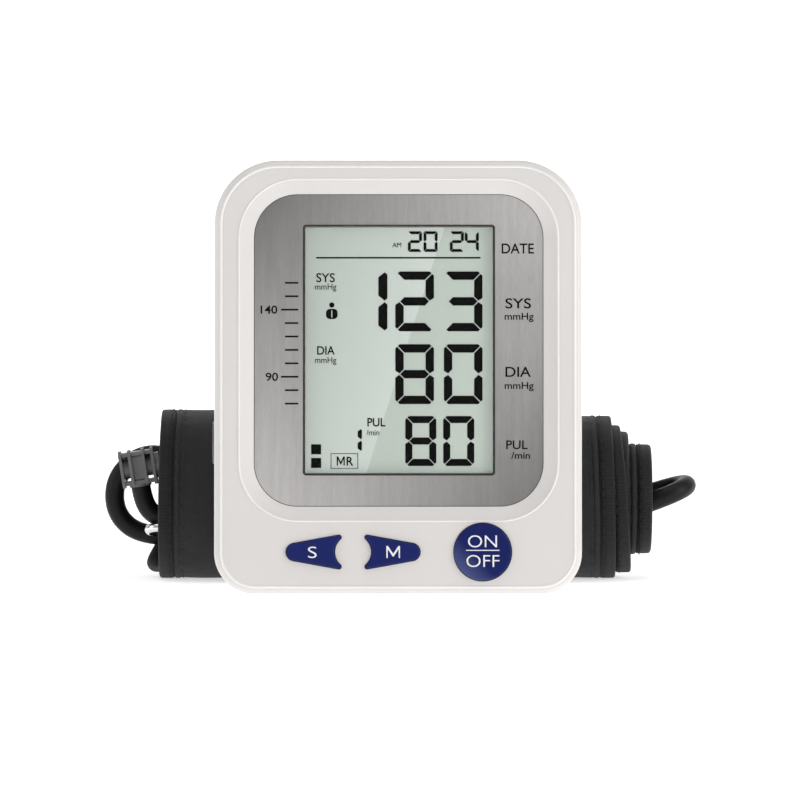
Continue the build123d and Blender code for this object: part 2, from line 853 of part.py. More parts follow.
tube_points = [Vector(x, roll_y + y, roll_z + z) for x, y, z in tube_route]


def tube_bends(points):
    """Radius of each bend: as large as its two runs allow."""
    bends = []
    for before, here, after in zip(points, points[1:], points[2:]):
        run_in, run_out = here - before, after - here
        half_turn = math.radians(run_in.get_angle(run_out)) / 2
        bends.append(0.45 * min(run_in.length, run_out.length) / math.tan(half_turn))
    return bends


bend_radii = tube_bends(tube_points)
print("tube bends:", [round(radius, 1) for radius in bend_radii])
with BuildPart() as air_tube:
    with BuildLine() as tube_path:
        FilletPolyline(*tube_points, radius=bend_radii)
    with BuildSketch(Plane(origin=tube_path.line @ 0, z_dir=tube_path.line % 0)):
        Circle(tube_diameter / 2)
    sweep(path=tube_path.line)
tube_length = sum(edge.length for edge in tube_path.edges())
section = math.pi * tube_diameter**2 / 4
print("tube length", round(tube_length, 1), "volume ratio", air_tube.part.volume / section / tube_length)
save(air_tube, "air_tube")

# ---- air plug ------------------------------------------------------------------------
plug_start = Vector(-86.2, roll_y - 4.0, roll_z + 7.0)
plug_axis = Vector(cos(plug_tilt), 0, sin(plug_tilt))
rib_height, rib_depth, rib_thickness = 11.6, 9.0, 0.9
rib_stations = [0.0, 2.9, 7.2, 10.0]
rail_outer = 5.1
inlet_station, inlet_drop = 5.43, 5.85


def plug_plane(station):
    """Plane across the plug; local x is +Y and local y is up."""
    return Plane(origin=plug_start + plug_axis * station, x_dir=(0, 1, 0), z_dir=plug_axis)


grip_length = rib_stations[-1] + rib_thickness
with BuildPart() as plug_grip:
    with BuildSketch(plug_plane(0)):
        Circle(3.0)
    extrude(amount=grip_length)
    for station in rib_stations:
        with BuildSketch(plug_plane(station)):
            RectangleRounded(rib_depth, rib_height, 2.6)
        extrude(amount=rib_thickness)
    with BuildSketch(plug_plane(0)):
        with Locations((0, rail_outer - 0.6), (0, -rail_outer + 0.6)):
            Rectangle(7.2, 1.2)
    extrude(amount=grip_length)
    with BuildSketch(plug_plane(rib_stations[1])):
        RectangleRounded(6.4, 8.4, 1.0)
    extrude(amount=rib_stations[2] - rib_stations[1])
    # inlet that the tube is pushed into, under the middle of the grip
    inlet = plug_plane(inlet_station)
    with BuildSketch(Plane(origin=inlet.origin - inlet.y_dir * inlet_drop, z_dir=inlet.y_dir)):
        Circle(3.4)
    extrude(amount=1.5)
save(plug_grip, "plug_grip")

nozzle_radius = 2.1
with BuildPart() as plug_nozzle:
    with BuildSketch(plug_plane(grip_length)):
        Circle(4.0)
    extrude(amount=1.5)
    with BuildSketch(plug_plane(grip_length + 1.5)):
        Circle(nozzle_radius)
    extrude(amount=9.0)
    chamfer(plug_nozzle.faces().sort_by(Axis.X)[-1].edges(), 0.4)
    with BuildSketch(plug_plane(grip_length + 7.0)):
        Circle(nozzle_radius + 0.1)
        Circle(nozzle_radius - 0.55, mode=Mode.SUBTRACT)
    extrude(amount=1.0, mode=Mode.SUBTRACT)
save(plug_nozzle, "plug_nozzle")

with BuildPart() as plug_o_ring:
    with BuildSketch(plug_plane(grip_length + 7.05)):
        Circle(nozzle_radius + 0.02)
        Circle(nozzle_radius - 0.5, mode=Mode.SUBTRACT)
    extrude(amount=0.9)
    fillet(plug_o_ring.edges(), 0.2)
save(plug_o_ring, "plug_o_ring")
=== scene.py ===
import math

import bmesh
import bpy
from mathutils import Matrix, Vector, noise


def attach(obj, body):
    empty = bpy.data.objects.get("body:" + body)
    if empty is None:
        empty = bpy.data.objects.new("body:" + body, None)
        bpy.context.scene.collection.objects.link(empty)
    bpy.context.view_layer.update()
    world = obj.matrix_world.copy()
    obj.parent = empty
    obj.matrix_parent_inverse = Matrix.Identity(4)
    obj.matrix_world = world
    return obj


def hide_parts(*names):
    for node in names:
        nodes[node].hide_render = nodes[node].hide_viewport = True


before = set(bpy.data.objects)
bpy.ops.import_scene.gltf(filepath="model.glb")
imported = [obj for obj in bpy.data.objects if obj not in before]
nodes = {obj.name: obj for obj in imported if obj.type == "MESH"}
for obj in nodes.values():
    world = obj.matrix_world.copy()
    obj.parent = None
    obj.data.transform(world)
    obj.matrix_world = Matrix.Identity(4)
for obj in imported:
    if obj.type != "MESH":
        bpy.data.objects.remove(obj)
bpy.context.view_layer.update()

MM = 0.001

# ---- the unit's own axes -------------------------------------------------------------
# u to the right, v up the face and w outwards, in millimetres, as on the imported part
LEAN = math.radians(4.0)
FACE_Y = -26.0
HOUSING_WIDTH, HOUSING_HEIGHT = 110.4, 130.4
HOUSING_TOP_CORNER, HOUSING_LOW_CORNER = 19.2, 12.4
PANEL_CENTRE = (0.2, 73.2)
PANEL_WIDTH, PANEL_HEIGHT, PANEL_CORNER = 86.8, 93.7, 13.0
PANEL_DEPTH = 2.2
BEVEL = 4.5
WINDOW_CENTRE = (0.3, 73.3)
WINDOW_WIDTH, WINDOW_HEIGHT, WINDOW_CORNER = 57.3, 75.0, 0.8
KEY_CENTRE_V = 12.6
SET_KEY_U, MEMORY_KEY_U, POWER_KEY_U = -25.3, -1.65, 25.4
POWER_KEY_RADIUS = 8.6
LCD_DEPTH = 3.9
KEY_PROUD = 0.9

# ---- the roll's own axes -------------------------------------------------------------
# a point is (x, behind, above) the roll's axis, in millimetres
ROLL_Y, ROLL_Z = 53.5, 26.6


def face_point(u, v, w=0.0):
    """Point given on the face's axes in mm, as metres in the frame."""
    y = FACE_Y + v * math.sin(LEAN) - w * math.cos(LEAN)
    z = v * math.cos(LEAN) + w * math.sin(LEAN)
    return Vector((u, y, z)) * MM


def roll_point(x, behind, above):
    """Point given from the roll's axis in mm, as metres in the frame."""
    return Vector((x, ROLL_Y + behind, ROLL_Z + above)) * MM


def add_object(name, data):
    """New object in the scene's own collection."""
    thing = bpy.data.objects.new(name, data)
    bpy.context.scene.collection.objects.link(thing)
    return thing


# ---- camera, light and floor ---------------------------------------------------------
def add_camera():
    """Looks at the face from two metres, from a little above its middle."""
    distance, field, elevation = 2.0, 0.240, math.radians(2.1)
    data = bpy.data.cameras.new("camera")
    data.sensor_width = 36.0
    data.lens = data.sensor_width * distance / field
    data.clip_end = 20.0
    camera = add_object("camera", data)
    towards = Vector((0, -math.cos(elevation), math.sin(elevation)))
    camera.location = face_point(0.6, 58.2) + towards * distance
    camera.rotation_euler = (math.pi / 2 - elevation, 0, 0)
    bpy.context.scene.camera = camera


def add_area_light(name, spot, target, size, power):
    data = bpy.data.lights.new(name, "AREA")
    data.shape = "RECTANGLE"
    data.size, data.size_y = size
    data.energy = power
    light = add_object(name, data)
    light.location = spot
    light.rotation_euler = (Vector(target) - Vector(spot)).to_track_quat("-Z", "Y").to_euler()


def add_lights():
    """Soft boxes at both sides and above, one for the sweep behind, and an even pale surround."""
    target = (0, 0, 0.06)
    add_area_light("right_light", (1.05, -0.55, 0.45), target, (0.5, 1.0), 5.7)
    add_area_light("left_light", (-1.10, -0.30, 0.35), target, (0.5, 1.0), 2.6)
    add_area_light("top_light", (0.0, -0.15, 1.3), target, (1.4, 0.5), 3.6)
    add_area_light("back_light", (0.2, 1.2, 1.4), (0, 3.0, 0.6), (1.6, 1.0), 26)
    world = bpy.data.worlds.new("studio")
    world.use_nodes = True
    background = world.node_tree.nodes["Background"]
    background.inputs["Color"].default_value = (1.0, 1.0, 1.0, 1)
    background.inputs["Strength"].default_value = 0.36
    bpy.context.scene.world = world


def add_floor():
    """Pale sweep: flat under the object, curving up well behind it."""
    mesh = bpy.data.meshes.new("floor")
    build = bmesh.new()
    front, flat_end, radius, top, half_width = -3.0, 2.6, 0.9, 4.0, 5.0
    profile = [(front, 0.0), (flat_end, 0.0)]
    steps = 12
    for step in range(1, steps + 1):
        turn = math.pi / 2 * step / steps
        profile.append((flat_end + radius * math.sin(turn), radius * (1 - math.cos(turn))))
    profile.append((flat_end + radius, top))
    rows = [
        [build.verts.new((side * half_width, y, z)) for side in (-1, 1)] for y, z in profile
    ]
    for near, far in zip(rows, rows[1:]):
        build.faces.new((near[0], near[1], far[1], far[0])).smooth = True
    build.to_mesh(mesh)
    build.free()
    floor = add_object("floor", mesh)
    mesh.materials.append(floor_paper())


# ---- materials -----------------------------------------------------------------------
class Finish:
    """A procedural material under construction, with short ways to add its nodes."""

    def __init__(self, name, **sockets):
        self.material = bpy.data.materials.new(name)
        self.material.use_nodes = True
        self.tree = self.material.node_tree
        self.shader = self.tree.nodes["Principled BSDF"]
        self.set(**sockets)

    def set(self, **sockets):
        for name, value in sockets.items():
            socket = self.shader.inputs[name.replace("_", " ")]
            socket.default_value = (*value, 1) if isinstance(value, tuple) else value

    def add(self, kind, **values):
        """New node; values set its inputs by name, or its own settings."""
        node = self.tree.nodes.new("ShaderNode" + kind)
        for name, value in values.items():
            label = name.replace("_", " ")
            if label in node.inputs:
                node.inputs[label].default_value = value
            else:
                setattr(node, name, value)
        return node

    def link(self, output, target):
        self.tree.links.new(output, target)

    def place(self, stretch=(1, 1, 1), turn=(0, 0, 0), uv=False):
        """Position on the object in metres, or on its UV map, stretched and turned."""
        spot = self.add("TexCoord")
        mapping = self.add("Mapping")
        mapping.inputs["Scale"].default_value = stretch
        mapping.inputs["Rotation"].default_value = turn
        self.link(spot.outputs["UV" if uv else "Object"], mapping.inputs["Vector"])
        return mapping.outputs["Vector"]

    def noise(self, scale, detail=3.0, place=None):
        node = self.add("TexNoise", Scale=scale, Detail=detail)
        self.link(place or self.place(), node.inputs["Vector"])
        return node.outputs["Fac"]

    def wave(self, scale, place, direction):
        node = self.add("TexWave", Scale=scale, wave_profile="SIN", bands_direction=direction)
        self.link(place, node.inputs["Vector"])
        return node.outputs["Fac"]

    def math(self, operation, first, second, third=None):
        node = self.add("Math", operation=operation)
        for socket, value in zip(node.inputs, (first, second, third)):
            if isinstance(value, (int, float)):
                socket.default_value = value
            elif value is not None:
                self.link(value, socket)
        return node.outputs["Value"]

    def span(self, value, low, high):
        """Value from 0 to 1, spread to run from low to high."""
        node = self.add("MapRange", To_Min=low, To_Max=high)
        self.link(value, node.inputs["Value"])
        return node.outputs["Result"]

    def shade(self, value, dark, light, low=0.3, high=0.7):
        """Colour that runs from dark to light as value runs from low to high."""
        ramp = self.add("ValToRGB")
        ramp.color_ramp.elements[0].color = (*dark, 1)
        ramp.color_ramp.elements[1].color = (*light, 1)
        ramp.color_ramp.elements[0].position = low
        ramp.color_ramp.elements[1].position = high
        self.link(value, ramp.inputs["Fac"])
        return ramp.outputs["Color"]

    def mix(self, first, second, **values):
        node = self.add("MixRGB", **values)
        self.link(first, node.inputs["Color1"])
        self.link(second, node.inputs["Color2"])
        return node.outputs["Color"]

    def bump(self, height, distance):
        node = self.add("Bump", Strength=1.0, Distance=distance)
        self.link(height, node.inputs["Height"])
        self.link(node.outputs["Normal"], self.shader.inputs["Normal"])

    def to(self, output, name):
        """Feeds one of the shader's own inputs."""
        self.link(output, self.shader.inputs[name])

    def where(self):
        """Position in metres, split into X, Y and Z outputs."""
        spot = self.add("SeparateXYZ")
        self.link(self.place(), spot.inputs["Vector"])
        return spot.outputs


def band_scale(pitch):
    """Scale that sets a wave texture's bands this many mm apart on coordinates in metres."""
    return math.pi / 10 / (pitch * MM)


def tint(colour, share):
    """The colour made darker or lighter."""
    return tuple(min(1.0, channel * share) for channel in colour)


def moulded(name, colour, roughness=0.4, variation=0.03, grain=0.00002, **sockets):
    """Moulded plastic or rubber: faint mottling, fine spark texture and uneven gloss."""
    finish = Finish(name, **sockets)
    mottle = finish.noise(45.0)
    finish.to(finish.shade(mottle, tint(colour, 1 - variation), tint(colour, 1 + variation)), "Base Color")
    finish.to(finish.span(finish.noise(160.0), roughness - 0.06, roughness + 0.06), "Roughness")
    finish.bump(finish.noise(2600.0, 2.0), grain)
    return finish.material


def round_key_plastic():
    """Plastic of the round key, with a painted sheen: paler towards the lower left of its face."""
    finish = Finish("power_key_painted_sheen", Specular_IOR_Level=0.16)
    spot = finish.where()
    middle = face_point(POWER_KEY_U, KEY_CENTRE_V)
    left = finish.math("SUBTRACT", middle.x, spot["X"])
    down = finish.math("SUBTRACT", middle.z, spot["Z"])
    diagonal = 1.42  # radii from the middle to the lower left edge, counted left plus down
    reach = finish.math("MULTIPLY", finish.math("ADD", left, down), 1 / (POWER_KEY_RADIUS * MM * diagonal))
    # painted sheen: the colour lightens towards the key's lower left edge
    finish.to(finish.shade(reach, (0.007, 0.014, 0.112), (0.070, 0.090, 0.225), 0.25, 1.0), "Base Color")
    finish.to(finish.span(finish.noise(160.0), 0.24, 0.36), "Roughness")
    finish.bump(finish.noise(2600.0, 2.0), 0.00001)
    return finish.material


def metal(name, colour, roughness):
    """Plain metal with fine drawing or turning marks."""
    finish = Finish(name, Metallic=1.0)
    marks = finish.noise(12.0, 4.0, finish.place((60, 60, 60)))
    finish.to(finish.shade(marks, tint(colour, 0.88), tint(colour, 1.1)), "Base Color")
    finish.to(finish.span(marks, roughness - 0.08, roughness + 0.12), "Roughness")
    finish.bump(marks, 0.00001)
    return finish.material


def floor_paper():
    """White paper that glows a little, so that the sweep stays pure white."""
    finish = Finish("floor_paper", Roughness=0.85, Specular_IOR_Level=0.2,
                    Emission_Color=(1.0, 1.0, 1.0), Emission_Strength=0.55)
    fibres = finish.noise(900.0)
    finish.to(finish.shade(fibres, (0.90, 0.90, 0.90), (0.93, 0.93, 0.93)), "Base Color")
    finish.bump(fibres, 0.00005)
    return finish.material


def brushed_panel():
    """Silver film with vertical grain, and a painted sheen in its colour, brightest at two opposite
    corners.
    """
    finish = Finish("brushed_panel", Metallic=0.6, Anisotropic=0.6)
    fine = finish.noise(1.0, 5.0, finish.place((5200, 5200, 34)))
    coarse = finish.noise(1.0, 3.0, finish.place((700, 700, 9)))
    grain = finish.math("ADD", finish.math("MULTIPLY", fine, 0.55), finish.math("MULTIPLY", coarse, 0.45))
    spot = finish.where()
    middle = face_point(*PANEL_CENTRE).z
    across = finish.math("MULTIPLY", spot["X"], 2 / (PANEL_WIDTH * MM))
    above = finish.math("SUBTRACT", spot["Z"], middle)
    up = finish.math("MULTIPLY", above, 2 / (PANEL_HEIGHT * MM))
    sheen_saddle = finish.math("MULTIPLY_ADD", finish.math("MULTIPLY", across, up), 0.5, 0.5)
    streaks = finish.shade(grain, (0.58, 0.56, 0.55), (0.76, 0.74, 0.725), 0.25, 0.75)
    # painted sheen: bands scales the colour, lightest at the upper right and lower left corners
    bands = finish.shade(sheen_saddle, (0.33, 0.33, 0.33), (1.0, 1.0, 1.0), 0.0, 1.0)
    finish.to(finish.mix(streaks, bands, blend_type="MULTIPLY", Fac=1.0), "Base Color")
    finish.to(finish.span(grain, 0.34, 0.52), "Roughness")
    finish.bump(grain, 0.00002)
    return finish.material


# Display tones that carry a painted reflection; right of its edge the tone lightens again further right
LCD_GLARE_LEFT = (0.575, 0.640, 0.588)  # the display left of the painted reflection's slanted edge
LCD_GLARE_EDGE = (0.72, 0.785, 0.735)  # painted reflection, brightest just left of its edge
LCD_RIGHT = (0.59, 0.665, 0.60)  # just right of the painted reflection's edge
LCD_RIGHT_FAR = (0.64, 0.72, 0.65)


def lcd_screen():
    """Grey-green display with a painted reflection: its slanted edge divides a lighter left from a darker
    right.
    """
    finish = Finish("lcd_screen", Roughness=0.35, Specular_IOR_Level=0.3)
    spot = finish.where()
    # ends of the painted reflection's slanted edge
    top = face_point(14.1, 110.7, -LCD_DEPTH)
    low = face_point(-9.6, 36.0, -LCD_DEPTH)
    slope = (top.x - low.x) / (top.z - low.z)
    glare_edge_x = finish.math("MULTIPLY_ADD", spot["Z"], slope, low.x - slope * low.z)
    across = finish.math("SUBTRACT", spot["X"], glare_edge_x)
    side = finish.math("GREATER_THAN", across, 0.0)
    fade = 20.0  # per metre: the painted tone changes over the 50 mm beside the edge
    left = finish.shade(finish.math("MULTIPLY_ADD", across, fade, 1.0), LCD_GLARE_LEFT, LCD_GLARE_EDGE, 0.35, 1.0)
    right = finish.shade(finish.math("MULTIPLY", across, fade), LCD_RIGHT, LCD_RIGHT_FAR, 0.0, 1.0)
    both = finish.mix(left, right)
    finish.link(side, both.node.inputs["Fac"])
    finish.to(both, "Base Color")
    finish.bump(finish.noise(3000.0), 0.000004)
    return finish.material


def clear_window():
    """Clear acrylic, almost invisible but for a faint reflection."""
    finish = Finish("clear_window", Base_Color=(0.02, 0.025, 0.02), Alpha=0.03, Specular_IOR_Level=0.06)
    finish.to(finish.span(finish.noise(60.0), 0.04, 0.10), "Roughness")
    return finish.material


def ink(name, colour, roughness=0.5):
    """Screen-printed ink: slightly uneven in tone and gloss."""
    finish = Finish(name, Specular_IOR_Level=0.08)
    grain = finish.noise(1800.0)
    finish.to(finish.shade(grain, tint(colour, 0.85), tint(colour, 1.15)), "Base Color")
    finish.to(finish.span(grain, roughness - 0.08, roughness + 0.08), "Roughness")
    return finish.material


def circuit_board():
    """Green board with a pattern of tracks."""
    finish = Finish("circuit_board", Roughness=0.35)
    tracks = finish.add("TexBrick", Scale=420.0, Mortar_Size=0.02)
    tracks.inputs["Color1"].default_value = (0.006, 0.07, 0.022, 1)
    tracks.inputs["Color2"].default_value = (0.008, 0.09, 0.03, 1)
    tracks.inputs["Mortar"].default_value = (0.02, 0.18, 0.06, 1)
    finish.link(finish.place(), tracks.inputs["Vector"])
    finish.to(tracks.outputs["Color"], "Base Color")
    finish.bump(tracks.outputs["Fac"], 0.00003)
    return finish.material


def twill_cloth():
    """Black nylon twill: fine diagonal ribs with a soft sheen and uneven dye."""
    finish = Finish("twill_cloth", Sheen_Weight=0.05, Sheen_Roughness=0.4, Specular_IOR_Level=0.3)
    turned = finish.place(turn=(0, 0, math.radians(-52)), uv=True)
    ribs = finish.wave(band_scale(0.62), turned, direction="Y")
    threads = finish.wave(band_scale(0.4), turned, direction="X")
    weave = finish.math("MULTIPLY_ADD", threads, 0.35, finish.math("MULTIPLY", ribs, 0.65))
    wear = finish.noise(55.0)
    tone = finish.math("MULTIPLY_ADD", wear, 0.3, finish.math("MULTIPLY", weave, 0.7))
    finish.to(finish.shade(tone, (0.003, 0.003, 0.0035), (0.032, 0.032, 0.033), 0.25, 0.85), "Base Color")
    finish.to(finish.span(wear, 0.5, 0.72), "Roughness")
    finish.bump(weave, 0.00014)
    return finish.material


def grosgrain_tape():
    """Ribbed binding tape: fine ribs run across the tape."""
    finish = Finish("grosgrain_tape", Sheen_Weight=0.05, Sheen_Roughness=0.4, Specular_IOR_Level=0.25)
    flat = finish.place(uv=True)
    ribs = finish.wave(band_scale(0.46), flat, direction="Y")
    fibres = finish.noise(1.0, 2.0, finish.place((900, 5000, 1), uv=True))
    weave = finish.math("MULTIPLY_ADD", fibres, 0.3, finish.math("MULTIPLY", ribs, 0.7))
    finish.to(finish.shade(weave, (0.003, 0.003, 0.0035), (0.021, 0.021, 0.022), 0.15, 0.9), "Base Color")
    finish.to(finish.span(fibres, 0.5, 0.7), "Roughness")
    finish.bump(weave, 0.00016)
    return finish.material


def smooth_nylon(name, colour):
    """Plain-woven lining: a fine square weave."""
    finish = Finish(name, Sheen_Weight=0.1, Specular_IOR_Level=0.3)
    flat = finish.place(uv=True)
    warp = finish.wave(band_scale(0.5), flat, direction="X")
    weft = finish.wave(band_scale(0.5), flat, direction="Y")
    weave = finish.math("MULTIPLY", warp, weft)
    finish.to(finish.shade(weave, tint(colour, 0.6), tint(colour, 1.3), 0.1, 0.8), "Base Color")
    finish.to(finish.span(finish.noise(70.0), 0.5, 0.7), "Roughness")
    finish.bump(weave, 0.00005)
    return finish.material


def hook_tape():
    """Fastening tape: rows of small hooks on a woven ground."""
    finish = Finish("hook_tape", Roughness=0.6)
    hooks = finish.add("TexVoronoi", Scale=900.0)
    finish.link(finish.place(uv=True), hooks.inputs["Vector"])
    distance = hooks.outputs["Distance"]
    finish.to(finish.shade(distance, (0.05, 0.05, 0.052), (0.006, 0.006, 0.007), 0.1, 0.6), "Base Color")
    finish.bump(finish.math("SUBTRACT", 1.0, distance), 0.0004)
    return finish.material


# ---- meshes --------------------------------------------------------------------------
def add_mesh(name, points, faces, material, smooth=True, uvs=None):
    """Object from points in metres; uvs holds one pair for each point."""
    mesh = bpy.data.meshes.new(name)
    mesh.from_pydata([tuple(point) for point in points], [], faces)
    if uvs:
        layer = mesh.uv_layers.new(name="UVMap")
        for loop in mesh.loops:
            layer.data[loop.index].uv = uvs[loop.vertex_index]
    mesh.polygons.foreach_set("use_smooth", [smooth] * len(mesh.polygons))
    mesh.materials.append(material)
    return add_object(name, mesh)


def finish_piece(piece, body, slot, *replaced):
    """Puts the piece on its body and hides the imported nodes that it stands for; slot is not used."""
    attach(piece, body)
    if replaced:
        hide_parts(*replaced)
    return piece


def ring_faces(rows, sides, closed=False):
    """Quads between rings of points: capped at both ends, or closed from the last to the first."""
    faces = []
    for row in range(rows if closed else rows - 1):
        near, far = row * sides, (row + 1) % rows * sides
        for column in range(sides):
            after = (column + 1) % sides
            faces.append((near + column, near + after, far + after, far + column))
    if not closed:
        faces.append(tuple(reversed(range(sides))))
        faces.append(tuple(range((rows - 1) * sides, rows * sides)))
    return faces


def loft(name, rings, material, uv_rings):
    """Closed solid through rings of points that all have the same count."""
    points = [point for ring in rings for point in ring]
    uvs = [uv for ring in uv_rings for uv in ring]
    return add_mesh(name, points, ring_faces(len(rings), len(rings[0])), material, uvs=uvs)


def join_meshes(name, pieces):
    """One object from several meshes, each given as (points, faces)."""
    points, faces = [], []
    for piece_points, piece_faces in pieces:
        base = len(points)
        points += piece_points
        faces += [tuple(base + index for index in face) for face in piece_faces]
    return name, points, faces


# ---- print on the face ---------------------------------------------------------------
PRINT_THICKNESS = 0.06  # mm
LCD_INK_W = -LCD_DEPTH + 0.01
PANEL_INK_W = -PANEL_DEPTH


def slab(outline, w):
    """Thin plate of printed ink: outline is (u, v) points in mm, its back on depth w."""
    count = len(outline)
    points = [face_point(u, v, w + PRINT_THICKNESS) for u, v in outline]
    points += [face_point(u, v, w) for u, v in outline]
    faces = [tuple(range(count)), tuple(reversed(range(count, 2 * count)))]
    for index in range(count):
        after = (index + 1) % count
        faces.append((index + count, after + count, after, index))
    return points, faces


def bar(left, low, right, high):
    """Outline of an upright rectangle."""
    return [(left, low), (right, low), (right, high), (left, high)]


def segment_digit(char, left, low, width, height, stroke):
    """Outlines of a seven-segment digit; mitred ends leave a thin gap between segments."""
    gap = stroke * 0.09
    right, high, middle = left + width, low + height, low + height / 2
    corner = stroke * 0.42
    near, far = left + stroke, right - stroke
    half = stroke / 2

    def across(edge, inner):
        # bar along the top or bottom edge, its outer corners cut back
        lean_in = corner if edge > inner else -corner
        return [
            (left + corner + gap, edge), (right - corner - gap, edge),
            (right - corner / 2 - gap, edge - lean_in / 2), (far - gap, inner),
            (near + gap, inner), (left + corner / 2 + gap, edge - lean_in / 2),
        ]

    def upright(edge, inner, base, top, outer_at_top):
        # bar along one side; its free corner is cut back and its other end is a point
        way = 1 if outer_at_top else -1
        end, other = (top, base) if outer_at_top else (base, top)
        lean_in = 1 if inner > edge else -1
        return [
            (edge, end - way * (corner + gap)),
            (edge + lean_in * corner / 2, end - way * (corner / 2 + gap)),
            (inner, end - way * (stroke + gap)),
            (inner, other + way * (half + gap)),
            (edge + lean_in * half, other + way * gap),
            (edge, other + way * corner),
        ]

    segments = {
        "a": across(high, high - stroke),
        "d": across(low, low + stroke),
        "g": [
            (left + half + gap, middle), (near + gap, middle + half), (far - gap, middle + half),
            (right - half - gap, middle), (far - gap, middle - half), (near + gap, middle - half),
        ],
        "b": upright(right, far, middle, high, True),
        "c": upright(right, far, low, middle, False),
        "f": upright(left, near, middle, high, True),
        "e": upright(left, near, low, middle, False),
    }
    lit = {"0": "abcdef", "2": "abdeg", "3": "abcdg", "4": "bcfg", "8": "abcdefg"}
    return [segments[key] for key in lit[char]]


def printed(name, outlines, w, material, slot="lcd", body="monitor"):
    """One piece of ink made of several outlines."""
    piece = add_mesh(*join_meshes(name, [slab(outline, w) for outline in outlines]), material, smooth=False)
    return finish_piece(piece, body, slot)


def lettering(name, text, u, v, height, w, material, stretch, weight, slot="panel", body="monitor"):
    """Thin raised print in plain letters, height being that of a capital, centred on (u, v)."""
    capital = 0.72  # height of a capital in this font at size 1
    half_thick = PRINT_THICKNESS / 2
    curve = bpy.data.curves.new(name, "FONT")
    curve.body = text
    curve.align_x = "CENTER"
    curve.size = 1.0
    curve.offset = weight
    curve.extrude = half_thick / height * capital
    curve.resolution_u = 6
    text_piece = add_object(name + "_text", curve)
    bpy.context.view_layer.update()
    mesh = bpy.data.meshes.new_from_object(text_piece.evaluated_get(bpy.context.evaluated_depsgraph_get()))
    bpy.data.objects.remove(text_piece)
    scale = height / capital
    base = v - height / 2
    for vertex in mesh.vertices:
        x, y, z = vertex.co
        vertex.co = face_point(u + x * scale * stretch, base + y * scale, w + half_thick + z * scale)
    mesh.name = name
    mesh.materials.clear()
    mesh.materials.append(material)
    return finish_piece(add_object(name, mesh), body, slot)


def digits(name, text, places, low, width, height, stroke, material):
    """Row of seven-segment digits; places are the left edges in mm."""
    outlines = []
    for char, left in zip(text, places):
        outlines += segment_digit(char, left, low, width, height, stroke)
    return printed(name, outlines, LCD_INK_W, material)


def add_lcd_content():
    """Everything that the display shows; words give text, place, height, stretch and weight."""
    black = ink("lcd_ink", (0.004, 0.004, 0.004), 0.35)
    big, big_high, big_stroke = 11.6, 18.0, 2.5
    tens, ones = -0.8, 13.8
    digits("lcd_systolic", "23", (tens, ones), 79.0, big, big_high, big_stroke, black)
    printed("lcd_systolic_one", single_one(-5.9, 79.0, 2.7, big_high), LCD_INK_W, black)
    digits("lcd_diastolic", "80", (tens, ones), 57.1, big, big_high, big_stroke, black)
    digits("lcd_pulse", "80", (2.2, 13.6), 38.5, 9.3, 15.0, 2.1, black)
    small, small_high, small_stroke = 4.2, 6.2, 0.85
    digits("lcd_hour", "20", (3.0, 7.7), 102.9, small, small_high, small_stroke, black)
    digits("lcd_minute", "24", (15.6, 20.1), 102.9, small, small_high, small_stroke, black)
    printed("lcd_user_one", single_one(-12.1, 42.8, 1.25, 7.0), LCD_INK_W, black)
    printed("lcd_rule", [bar(-24.6, 100.9, 24.8, 101.35)], LCD_INK_W, black)
    blocks = [bar(-26.1, low, -23.1, low + 3.0) for low in (37.9, 42.0)]
    printed("lcd_blocks", blocks, LCD_INK_W, black)
    left, low, right, high, line = -20.2, 37.7, -12.0, 42.3, 0.16
    frame_bars = [
        bar(left, low, right, low + line), bar(left, high - line, right, high),
        bar(left, low, left + line, high), bar(right - line, low, right, high),
    ]
    printed("lcd_memory_frame", frame_bars, LCD_INK_W, black)
    words = (
        ("lcd_am", "AM", -0.3, 105.0, 1.45, 0.95, 0.0),
        ("lcd_sys", "SYS", -21.8, 95.2, 2.75, 1.0, 0.006),
        ("lcd_sys_unit", "mmHg", -21.8, 92.5, 1.9, 0.92, 0.0),
        ("lcd_dia", "DIA", -21.8, 73.3, 2.6, 0.9, 0.012),
        ("lcd_dia_unit", "mmHg", -21.8, 70.4, 1.9, 0.92, 0.0),
        ("lcd_pul", "PUL", -6.6, 51.7, 2.6, 0.9, 0.012),
        ("lcd_pul_unit", "/min", -7.5, 48.6, 1.8, 0.9, 0.0),
        ("lcd_memory", "R", -14.6, 40.0, 2.7, 0.95, 0.012),
    )
    for name, text, u, v, height, stretch, weight in words:
        lettering(name, text, u, v, height, LCD_INK_W, black, stretch, weight, slot="lcd")
    printed("lcd_memory_m", [letter_m(-18.4, 38.65, 2.4, 2.7, 0.36)], LCD_INK_W, black)
    add_user_icon(black)


def letter_m(left, low, width, height, stroke):
    """Capital M as one outline."""
    middle, right, high = left + width / 2, left + width, low + height
    dip = low + height * 0.12
    slant = stroke * 1.15
    notch, tip = high - slant * 1.9, stroke * 0.3
    return [
        (left, low), (left + stroke, low), (left + stroke, notch), (middle - tip, dip),
        (middle + tip, dip), (right - stroke, notch), (right - stroke, low),
        (right, low), (right, high), (right - slant, high), (middle, dip + slant * 1.8),
        (left + slant, high), (left, high),
    ]


def single_one(left, low, width, height):
    """The left-hand figure one: two bars whose inner corners are cut to points."""
    half, gap = height / 2, 0.25
    right = left + width
    inner_cut, outer_cut, tip = width * 0.55, width * 0.25, right - width * 0.3
    bars = []
    for base, top in ((low, low + half), (low + half, low + height)):
        bars.append([
            (left, base + gap + inner_cut), (tip, base + gap),
            (right, base + gap + outer_cut), (right, top - gap - outer_cut),
            (tip, top - gap), (left, top - gap - inner_cut),
        ])
    return bars


